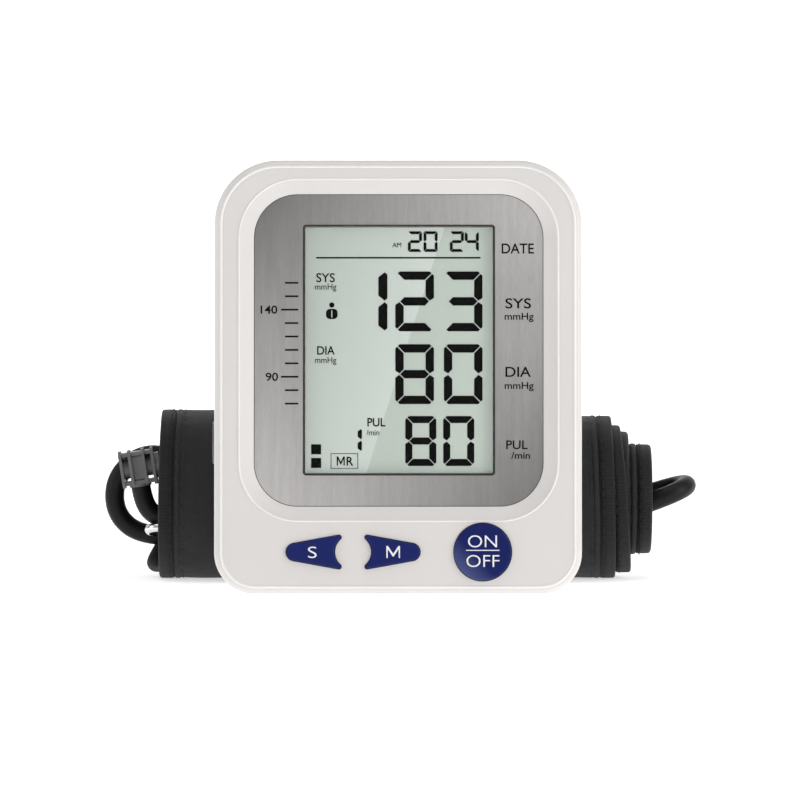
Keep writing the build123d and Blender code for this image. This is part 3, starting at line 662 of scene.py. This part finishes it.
def add_user_icon(black):
    """User 1: a round head over a rounded body, with a pale number on the body."""
    centre_u, head_v, head = -19.9, 86.9, 0.78
    turns = [math.tau * step / 24 for step in range(24)]
    circle = [(centre_u + head * math.cos(turn), head_v + head * math.sin(turn)) for turn in turns]
    half_width, low, high, corner = 1.72, 82.7, 85.75, 1.15
    body = [
        (centre_u + u, (low + high) / 2 + v)
        for u, v, _, _ in rounded_outline(2 * half_width, high - low, corner, 6)
    ]
    printed("lcd_user_icon", [circle, body], LCD_INK_W, black)
    # the number takes the display's tone under the painted reflection
    pale = ink("lcd_clear", LCD_GLARE_LEFT, 0.4)
    half, inset, above = 0.16, 0.5, 0.03
    stroke = bar(centre_u - half, low + inset, centre_u + half, high - inset)
    printed("lcd_user_number", [stroke], LCD_INK_W + above, pale)


def add_panel_print():
    """Pressure scale and labels; words give text, place, height, stretch and weight."""
    black = ink("print_ink", (0.005, 0.005, 0.005))
    first_v, pitch, thick = 93.5, 4.035, 0.52
    right, short, long = -29.95, 4.0, 5.2
    ticks = []
    for index in range(10):
        length = long if index in (2, 7) else short
        v = first_v - pitch * index
        ticks.append(bar(right - length, v - thick / 2, right, v + thick / 2))
    printed("pressure_scale", ticks, PANEL_INK_W, black, slot="panel")
    words = (
        ("scale_140", "140", -39.1, 85.5, 2.45, 1.14, 0.014),
        ("scale_90", "90", -37.9, 65.3, 2.45, 1.14, 0.014),
        ("label_date", "DATE", 35.9, 103.9, 3.1, 0.92, 0.01),
        ("label_sys", "SYS", 36.1, 87.4, 3.1, 1.22, 0.008),
        ("label_sys_unit", "mmHg", 36.3, 83.5, 2.15, 1.10, 0.01),
        ("label_dia", "DIA", 35.9, 66.8, 3.1, 1.10, 0.008),
        ("label_dia_unit", "mmHg", 36.3, 62.7, 2.15, 1.10, 0.01),
        ("label_pul", "PUL", 35.6, 44.9, 2.7, 1.04, 0.008),
        ("label_pul_unit", "/min", 36.9, 41.7, 2.1, 1.12, 0.01),
    )
    for name, text, u, v, height, stretch, weight in words:
        lettering(name, text, u, v, height, PANEL_INK_W, black, stretch, weight)


def rounded_outline(width, height, corner, steps=14, low_corner=None):
    """Closed outline of a rounded rectangle round the origin, with its outward directions."""
    spots = []
    high, low = corner, low_corner or corner
    corners = ((1, 1, 0, high), (-1, 1, 90, high), (-1, -1, 180, low), (1, -1, 270, low))
    for side_u, side_v, start, corner in corners:
        for step in range(steps + 1):
            turn = math.radians(start + 90 * step / steps)
            out_u, out_v = math.cos(turn), math.sin(turn)
            u = side_u * (width / 2 - corner) + corner * out_u
            v = side_v * (height / 2 - corner) + corner * out_v
            spots.append((u, v, out_u, out_v))
    return spots


def add_bead(name, centre, width, height, corner, radius, w, material, slot, low_corner=None):
    """Thin raised line round a rounded rectangle on the face."""
    sides = 8
    spots = rounded_outline(width, height, corner, low_corner=low_corner)
    points = []
    for u, v, out_u, out_v in spots:
        for step in range(sides):
            turn = math.tau * step / sides
            reach = radius * math.cos(turn)
            points.append(face_point(centre[0] + u + reach * out_u, centre[1] + v + reach * out_v,
                                     w + radius * math.sin(turn)))
    faces = ring_faces(len(spots), sides, closed=True)
    return finish_piece(add_mesh(name, points, faces, material), "monitor", slot)


def add_trim():
    """Raised lines round the rim and the bevel, whiter than the housing as a painted highlight, dark edge
    of the panel and gasket of the window.
    """
    # the beads are raised for real; their whiter colour is a painted highlight
    white = moulded("trim_bead_painted_highlight", (0.90, 0.885, 0.87), 0.3, 0.01)
    dark = moulded("gasket_rubber", (0.012, 0.012, 0.012), 0.5)
    inset = 2.1
    rim_width, rim_height = HOUSING_WIDTH - 2 * inset, HOUSING_HEIGHT - 2 * inset
    add_bead("rim_line", (0, HOUSING_HEIGHT / 2), rim_width, rim_height, HOUSING_TOP_CORNER - inset,
             0.42, -0.12, white, "housing", HOUSING_LOW_CORNER - inset)
    bevel_width, bevel_height = PANEL_WIDTH + 2 * BEVEL, PANEL_HEIGHT + 2 * BEVEL
    add_bead("bezel_line", PANEL_CENTRE, bevel_width, bevel_height, PANEL_CORNER + BEVEL,
             0.30, 0.0, white, "housing")
    add_bead("panel_edge", PANEL_CENTRE, PANEL_WIDTH, PANEL_HEIGHT, PANEL_CORNER,
             0.10, -PANEL_DEPTH, dark, "panel")
    add_bead("window_gasket", WINDOW_CENTRE, WINDOW_WIDTH, WINDOW_HEIGHT, WINDOW_CORNER,
             0.21, -PANEL_DEPTH, dark, "window")


def add_key_print():
    """S, M and ON over OFF, in white; each rides on its own key."""
    white = ink("key_ink", (0.86, 0.86, 0.88), 0.4)
    weight = -0.006
    keys = (
        ("set_letter", "S", SET_KEY_U - 0.4, KEY_CENTRE_V, 3.6, "set_button"),
        ("power_on", "ON", POWER_KEY_U, KEY_CENTRE_V + 3.3, 3.8, "power_button"),
        ("power_off", "OFF", POWER_KEY_U, KEY_CENTRE_V - 2.6, 3.8, "power_button"),
    )
    for name, text, u, v, height, body in keys:
        stretch = 1.4 if text == "S" else 1.12
        lettering(name, text, u, v, height, KEY_PROUD, white, stretch, weight, slot="key", body=body)
    memory = letter_m(MEMORY_KEY_U - 1.85, KEY_CENTRE_V - 1.8, 4.1, 3.6, 0.42)
    printed("memory_letter", [memory], KEY_PROUD, white, slot="key", body="memory_button")
    rule = bar(POWER_KEY_U - 5.0, KEY_CENTRE_V + 0.36, POWER_KEY_U + 5.0, KEY_CENTRE_V + 0.64)
    printed("power_rule", [rule], KEY_PROUD, white, slot="key", body="power_button")


# ---- air tube ------------------------------------------------------------------------
TUBE_DIAMETER = 6.0
TUBE_ROUTE = [
    (-72.0, 9.5, -14.1),
    (-80.6, 9.5, -14.1),
    (-88.5, 9.2, -7.4),
    (-88.8, 8.8, 3.4),
    (-81.6, 8.4, 11.0),
    (-72.8, 7.6, 11.6),
    (-62.0, 3.8, 4.2),
    (-42.0, 3.6, 2.4),
    (-6.0, 4.8, 0.7),
    (32.0, 3.8, -0.7),
    (56.0, 4.6, -1.5),
    (73.0, 7.0, -2.5),
    (86.3, 7.4, 1.7),
    (90.9, 0.0, 2.6),
    (86.3, -7.4, 0.2),
    (73.0, -7.0, -4.8),
    (56.0, -5.6, -5.3),
    (32.0, -6.4, -5.0),
    (-6.0, -5.2, -5.9),
    (-42.0, -4.8, -6.6),
    (-61.5, -3.6, -7.9),
    (-70.4, -3.7, -8.7),
    (-76.1, -3.9, -7.0),
    (-79.17, -4.0, -2.77),
    (-79.92, -4.0, 2.01),
]


def add_air_tube(material):
    """Loose tube through and round the roll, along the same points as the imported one."""
    curve = bpy.data.curves.new("tube", "CURVE")
    curve.dimensions = "3D"
    spline = curve.splines.new("NURBS")
    spline.points.add(len(TUBE_ROUTE) - 1)
    for point, spot in zip(spline.points, TUBE_ROUTE):
        point.co = (*roll_point(*spot), 1)
    spline.order_u = 3
    spline.use_endpoint_u = True
    spline.resolution_u = 16
    curve.bevel_depth = TUBE_DIAMETER / 2 * MM
    curve.bevel_resolution = 10
    curve.use_fill_caps = True
    curve.materials.append(material)
    tube = add_object("tube", curve)
    finish_piece(tube, "cuff", "tube", "air_tube")


# ---- rolled cuff ---------------------------------------------------------------------
FIRST_ANGLE, LAST_ANGLE = 280.0, 1715.0  # degrees round the roll, from its start to the tail's end
CORE_RADIUS = 11.0
PADDED, TAIL = 3.8, 1.5
PADDED_STEP, TAIL_STEP = 2.05, 0.9
PADDED_END, TAIL_START = 1074.0, 1098.0  # the bladder's end, where the cloth thins to the tail
LEFT_ENDS = (-64.0, -64.0, -64.0, -67.0, -70.0, -71.5, -73.0, -73.4, -74.2)
RIGHT_ENDS = (78.8, 78.6, 78.6, 71.5, 70.5, 69.0, 72.4, 66.2, 67.5)
FLAP_ANGLE, FLAP_HALF, FLAP_FLARE = 1372.0, 50.0, 5.6  # low at the back the left edge splays out
SAG, SAG_START, SAG_END = 0.042, -40.0, 90.0  # the right end of the roll is a little flatter
BINDING = 4.5
ANGLE_STEP = 2.5
PINCH_REACH, PUCKER_REACH = 5.0, 9.0  # how far the seam draws the cloth in, and how far it puckers
PUCKER_PITCH, PUCKER_DEPTH = 5.2, 0.12
OUTER_START, OUTER_BLEND = 1340.0, 60.0  # the outermost turn is more rumpled than the rest


def half_turns():
    """Centre and inner radius of each half turn, from the core outwards."""
    halves = []
    centre, radius = 0.0, CORE_RADIUS
    steps = [0.0] + [PADDED_STEP] * 6 + [TAIL_STEP] * 2
    for index, step in enumerate(steps):
        radius += step
        centre += -step if index % 2 else step
        halves.append((0.0 if index == 0 else centre, radius))
    return halves


HALVES = half_turns()


def smooth(value):
    value = min(1.0, max(0.0, value))
    return value * value * (3 - 2 * value)


def half_index(angle):
    """Which half turn of the roll this angle lies on."""
    return min(len(HALVES) - 1, max(0, int((angle - 180.0) // 180.0)))


def end_at(angle, ends):
    """Where the cuff's edge lies: the half turns' values, joined smoothly from middle to middle."""
    place = (angle - 180.0) / 180.0 - 0.5
    lower = min(len(ends) - 1, max(0, math.floor(place)))
    upper = min(len(ends) - 1, lower + 1)
    share = smooth(place - lower) if upper > lower else 0.0
    flare = FLAP_FLARE * smooth(1 - abs(angle - FLAP_ANGLE) / FLAP_HALF) if ends is LEFT_ENDS else 0.0
    return ends[lower] + (ends[upper] - ends[lower]) * share - flare


def thickness_at(angle):
    """The padded cloth thins to the plain tail after the bladder's end."""
    return PADDED + (TAIL - PADDED) * smooth((angle - PADDED_END) / (TAIL_START - PADDED_END))


def roll_spot(angle, x, height):
    """Point on the rolled cuff: height outwards from its inner face."""
    centre, radius = HALVES[half_index(angle)]
    turn = math.radians(angle)
    reach = radius + height
    spot = roll_point(x, centre + reach * math.cos(turn), reach * math.sin(turn))
    spot.z *= 1 - SAG * smooth((x - SAG_START) / (SAG_END - SAG_START))
    return spot


def angle_rows(step=ANGLE_STEP):
    """Even angles from the cuff's start to its end."""
    count = round((LAST_ANGLE - FIRST_ANGLE) / step)
    return [FIRST_ANGLE + (LAST_ANGLE - FIRST_ANGLE) * row / count for row in range(count + 1)]


def arc_lengths(angles):
    """Distance along the cuff in mm at each angle, measured in the middle of its thickness."""
    middle = 1.5
    lengths = [0.0]
    for before, here in zip(angles, angles[1:]):
        _, radius = HALVES[half_index((before + here) / 2)]
        lengths.append(lengths[-1] + math.radians(here - before) * (radius + middle))
    return lengths


def crumple(x, along, seed, scale=0.09):
    """Gentle unevenness of the cloth, from -1 to 1."""
    return noise.noise(Vector((x * scale, along * scale, seed)))


def add_cloth_face(name, outward, material, inset):
    """One face of the cuff: a sheet from binding to binding, puffed between its seams."""
    columns, thick, padded_over = 72, 0.55, 2.5
    inner_share, inner_limit, inner_pinch = 0.35, -0.12, 0.3
    angles = angle_rows()
    rings, uv_rings = [], []
    for angle, along in zip(angles, arc_lengths(angles)):
        left = end_at(angle, LEFT_ENDS) + inset
        right = end_at(angle, RIGHT_ENDS) - inset
        full = thickness_at(angle)
        pinch_depth = 0.55 if full > padded_over else 0.25
        rumple = 0.10 + 0.16 * smooth((angle - OUTER_START) / OUTER_BLEND)
        ring, uvs = [], []
        for column in range(columns + 1):
            x = left + (right - left) * column / columns
            rim = min(x - left, right - x)
            pinch = 1 - smooth(rim / PINCH_REACH)
            near_seam = smooth(rim) * (1 - smooth(rim / PUCKER_REACH))
            pucker = math.sin(math.tau * along / PUCKER_PITCH) * PUCKER_DEPTH * near_seam
            relief = pucker + crumple(x, along, 3.0) * rumple
            if outward:
                height = full + relief - pinch * pinch_depth
            else:
                height = max(inner_limit, -inner_share * relief) + pinch * inner_pinch
            ring.append((x, height))
            uvs.append((x * MM, along * MM))
        back = [(x, height - thick if outward else height + thick) for x, height in reversed(ring)]
        rings.append([roll_spot(angle, x, height) for x, height in ring + back])
        uv_rings.append(uvs + list(reversed(uvs)))
    return loft(name, rings, material, uv_rings)


def add_binding(name, ends, side, material):
    """Ribbed tape folded over one edge of the cuff; side is 1 on the left, -1 on the right."""
    angles = angle_rows(2.0)
    corner_steps, tape = 7, 0.4
    rings, uv_rings = [], []
    for angle, along in zip(angles, arc_lengths(angles)):
        edge = end_at(angle, ends)
        full = thickness_at(angle) * (0.90 if angle < PADDED_END else 1.0)
        base = thickness_at(angle) - full
        lift = 0.10 * crumple(0.0, along, 7.0 + side, 0.12)
        low, high = base * 0.5 - 0.06 + lift, base * 0.5 + full + 0.10 + lift
        middle, round_out = (low + high) / 2, min(1.1, (high - low) / 2)
        section = [(BINDING, low)]
        for step in range(corner_steps + 1):
            turn = math.pi / 2 * step / corner_steps
            section.append((round_out * (1 - math.sin(turn)), low + round_out * (1 - math.cos(turn))))
        for step in range(corner_steps + 1):
            turn = math.pi / 2 * step / corner_steps
            section.append((round_out * (1 - math.cos(turn)), high - round_out * (1 - math.sin(turn))))
        section += [(BINDING * 0.55, high + 0.03), (BINDING, high - 0.04)]
        section += [(BINDING, high - tape), (1.2, high - tape - 0.05), (0.6, middle)]
        section += [(1.2, low + tape + 0.05), (BINDING, low + tape)]
        rings.append([roll_spot(angle, edge + side * inward, height) for inward, height in section])
        across = 0.0
        uvs = [(0.0, along * MM)]
        for before, here in zip(section, section[1:]):
            across += math.dist(before, here)
            uvs.append((across * MM, along * MM))
        uv_rings.append(uvs)
    return loft(name, rings, material, uv_rings)


def add_piping(name, ends, side, material):
    """Narrow ridge where the cloth is folded in beside the binding."""
    angles = angle_rows(2.0)
    rings, uv_rings = [], []
    sides, half_width, half_height = 10, 0.95, 0.42
    for angle, along in zip(angles, arc_lengths(angles)):
        x = end_at(angle, ends) + side * (BINDING + 1.25)
        height = thickness_at(angle) - 0.22
        ring, uvs = [], []
        for step in range(sides):
            turn = math.tau * step / sides
            wobble = 0.05 * crumple(step * 9.0, along, 11.0, 0.3)
            ring.append((x + half_width * math.cos(turn), height + (half_height + wobble) * math.sin(turn)))
            uvs.append(((x + 0.8 * math.cos(turn)) * MM, along * MM))
        rings.append([roll_spot(angle, *spot) for spot in ring])
        uv_rings.append(uvs)
    return loft(name, rings, material, uv_rings)


def add_stitches(name, ends, side, inset, material, lift):
    """Row of single stitches sunk a little into the cloth along one edge."""
    length, pitch, radius, arch_height = 2.3, 3.0, 0.16, 0.14
    first_start, end_margin = 4.0, 2.0
    rows, sides = 6, 6
    angles = angle_rows(1.0)
    lengths = arc_lengths(angles)
    pieces = []
    spot_at = 0
    start = first_start
    while start + length < lengths[-1] - end_margin:
        points = []
        for row in range(rows + 1):
            share = row / rows
            along = start + length * share
            while lengths[spot_at + 1] < along:
                spot_at += 1
            part = (along - lengths[spot_at]) / (lengths[spot_at + 1] - lengths[spot_at])
            angle = angles[spot_at] + (angles[spot_at + 1] - angles[spot_at]) * part
            arch = math.sin(math.pi * share)
            x = end_at(angle, ends) + side * inset
            height = thickness_at(angle) + lift + arch_height * arch
            thick = radius * (0.45 + 0.55 * arch)
            for step in range(sides):
                turn = math.tau * step / sides
                points.append(roll_spot(angle, x + thick * math.cos(turn), height + thick * math.sin(turn)))
        pieces.append((points, ring_faces(rows + 1, sides)))
        start += pitch
        spot_at = max(0, spot_at - 2)
    return add_mesh(*join_meshes(name, pieces), material)


def add_hook_patch(material):
    """Fastening strip on the inner face of the tail's end."""
    rings, uv_rings = [], []
    columns, margin, inner_height, outer_height = 24, 12.0, -0.16, 0.02
    patch_start, patch_end = 1628.0, 1708.0
    angles = [angle for angle in angle_rows() if patch_start <= angle <= patch_end]
    for angle in angles:
        left, right = end_at(angle, LEFT_ENDS) + margin, end_at(angle, RIGHT_ENDS) - margin
        top = [(left + (right - left) * step / columns, inner_height) for step in range(columns + 1)]
        low = [(x, outer_height) for x, _ in reversed(top)]
        rings.append([roll_spot(angle, x, height) for x, height in top + low])
        uv_rings.append([(x * MM, math.radians(angle) * 0.025) for x, _ in top + low])
    return loft("hook_strip", rings, material, uv_rings)


def add_ring_strap(material):
    """Webbing folded round the far wire of the D-ring and sewn to the start of the cuff."""
    wire_behind, wire_above = -0.8, -12.4
    inner, thick = 1.55, 0.75
    start_angle, end_angle = 40.0, 320.0
    outside, inside = [], []
    steps = 22
    for step in range(steps + 1):
        turn = math.radians(start_angle + (end_angle - start_angle) * step / steps)
        for reach, arc in ((inner + thick, outside), (inner, inside)):
            arc.append((wire_behind + reach * math.cos(turn), wire_above + reach * math.sin(turn)))
    leg_end = 3.2  # the two legs lie together here, one above the other
    legs_out = [(leg_end, -13.35)] + list(reversed(outside)) + [(leg_end, -11.35)]
    legs_in = [(leg_end, -12.05)] + inside + [(leg_end, -12.65)]
    section = legs_out + legs_in
    left, right, columns = -54.0, 58.0, 40
    rings, uv_rings = [], []
    for column in range(columns + 1):
        x = left + (right - left) * column / columns
        wave = 0.08 * math.sin(column * 0.9)
        rings.append([roll_point(x, behind, above + wave) for behind, above in section])
        uv_rings.append([(x * MM, step * 0.0006) for step in range(len(section))])
    return loft("ring_strap", rings, material, uv_rings)


def add_cuff():
    """Both faces of the cloth, and the binding, seam ridge and stitching along each edge."""
    cloth, tape = twill_cloth(), grosgrain_tape()
    thread = ink("thread", (0.035, 0.035, 0.037), 0.55)
    under_binding = 3.6  # the cloth reaches this near to the edge, beneath the binding
    outer = add_cloth_face("cuff_cloth", True, cloth, under_binding)
    finish_piece(outer, "cuff", "cloth", "cuff_cover", "cuff_bladder")
    nylon = smooth_nylon("lining_nylon", (0.018, 0.018, 0.020))
    lining = add_cloth_face("cuff_inner_cloth", False, nylon, under_binding)
    finish_piece(lining, "cuff", "lining", "cuff_lining")
    edges = (("left", LEFT_ENDS, 1), ("right", RIGHT_ENDS, -1))
    for label, ends, side in edges:
        binding = add_binding(f"binding_tape_{label}", ends, side, tape)
        finish_piece(binding, "cuff", "tape", f"cuff_binding_{label}")
        piping = add_piping(f"piping_{label}", ends, side, cloth)
        finish_piece(piping, "cuff", "cloth")
        stitches = add_stitches(f"edge_stitches_{label}", ends, side, BINDING - 0.9, thread, lift=0.12)
        finish_piece(stitches, "cuff", "tape")
        second = add_stitches(f"seam_stitches_{label}", ends, side, BINDING + 2.9, thread, lift=-0.1)
        finish_piece(second, "cuff", "cloth")
    finish_piece(add_hook_patch(hook_tape()), "cuff", "hook", "hook_patch")
    finish_piece(add_ring_strap(tape), "cuff", "tape", "ring_loop")


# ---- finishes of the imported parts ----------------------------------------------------
def paint(material, *names):
    """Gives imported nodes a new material."""
    for name in names:
        mesh = nodes[name].data
        mesh.materials.clear()
        mesh.materials.append(material)


def paint_parts():
    """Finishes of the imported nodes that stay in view, or would with the case open."""
    housing = moulded("housing_plastic", (0.755, 0.728, 0.709), 0.38, 0.012, Coat_Weight=0.15,
                      Coat_Roughness=0.25)
    paint(housing, "front_housing", "rear_housing", "battery_door")
    paint(brushed_panel(), "display_panel")
    paint(clear_window(), "display_window")
    paint(lcd_screen(), "lcd_glass")
    key = moulded("key_plastic", (0.009, 0.017, 0.125), 0.3, 0.06, 0.00001, Specular_IOR_Level=0.16)
    paint(key, "set_button", "memory_button")
    paint(round_key_plastic(), "power_button")
    paint(moulded("foot_rubber", (0.03, 0.03, 0.03), 0.75), "rubber_feet")
    paint(moulded("inner_plastic", (0.55, 0.55, 0.53), 0.5), "lcd_frame", "pump_head", "air_manifold")
    paint(moulded("elastomer", (0.10, 0.10, 0.10), 0.6), "zebra_connectors", "motor_cushion")
    paint(circuit_board(), "main_board")
    paint(moulded("component_case", (0.015, 0.015, 0.016), 0.45), "controller_chips", "buzzer")
    paint(moulded("switch_case", (0.05, 0.05, 0.055), 0.4), "tact_switches", "pressure_sensor")
    steel = metal("bright_steel", (0.62, 0.62, 0.63), 0.28)
    paint(steel, "housing_screws", "board_screws", "pump_motor", "contact_plates", "contact_springs")
    paint(moulded("valve_case", (0.65, 0.63, 0.58), 0.45), "release_valve")
    paint(moulded("silicone", (0.60, 0.60, 0.58), 0.5), "pump_hose", "valve_hose", "socket_hose")
    paint(moulded("socket_plastic", (0.16, 0.16, 0.165), 0.4), "air_socket")
    paint(moulded("jack_plastic", (0.02, 0.02, 0.021), 0.35), "power_jack")
    paint(moulded("cell_sleeve", (0.05, 0.09, 0.16), 0.35, 0.1), "battery_cells")
    paint(metal("chrome", (0.80, 0.80, 0.81), 0.12), "d_ring")
    paint(moulded("plug_plastic", (0.155, 0.155, 0.157), 0.42, 0.05, 0.00004), "plug_grip")
    paint(moulded("plug_nozzle_plastic", (0.18, 0.18, 0.18), 0.4, 0.05), "plug_nozzle")
    paint(moulded("o_ring_rubber", (0.012, 0.012, 0.012), 0.5), "plug_o_ring")
    paint(moulded("port_rubber", (0.016, 0.016, 0.017), 0.55), "tube_port")


def main():
    bpy.context.scene.view_settings.view_transform = "Standard"
    add_camera()
    add_lights()
    add_floor()
    paint_parts()
    add_lcd_content()
    add_panel_print()
    add_key_print()
    add_trim()
    add_air_tube(moulded("tube_pvc", (0.008, 0.008, 0.0085), 0.42, 0.08, 0.00004, Specular_IOR_Level=0.2))
    add_cuff()
    bpy.context.view_layer.update()


main()
